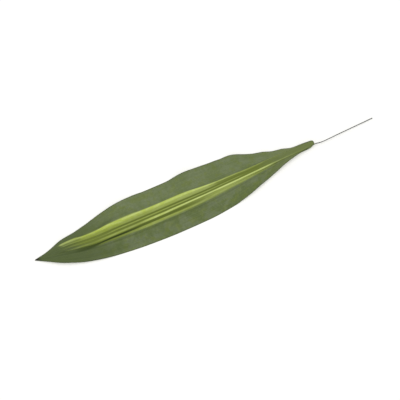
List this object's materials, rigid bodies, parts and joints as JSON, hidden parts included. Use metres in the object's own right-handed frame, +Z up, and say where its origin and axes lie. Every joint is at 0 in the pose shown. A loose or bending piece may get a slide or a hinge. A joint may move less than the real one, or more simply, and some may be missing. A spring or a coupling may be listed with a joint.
{
  "type": "dracaena leaf",
  "caption": "Long pointed leaf, dark green with yellow-green stripes along its pleated middle, on a straight wire stem, for a flower arrangement or a table.",
  "frame": {"origin": "on the ground under the middle of the whole piece's box, leaf and wire together", "axes": "+X from the pointed tip to the free end of the wire, +Y to the waved margin, +Z up from the ground, with the leaf's upper face up"},
  "size_m": [0.6776, 0.1044, 0.0104],
  "materials": {
    "leaf": "satin waxy green, with yellow-green stripes along the middle",
    "wire": "dull dark grey-green"
  },
  "bodies": {
    "root": {"leaf_blade": "leaf", "stem_wire": "wire"}
  },
  "joints": []
}
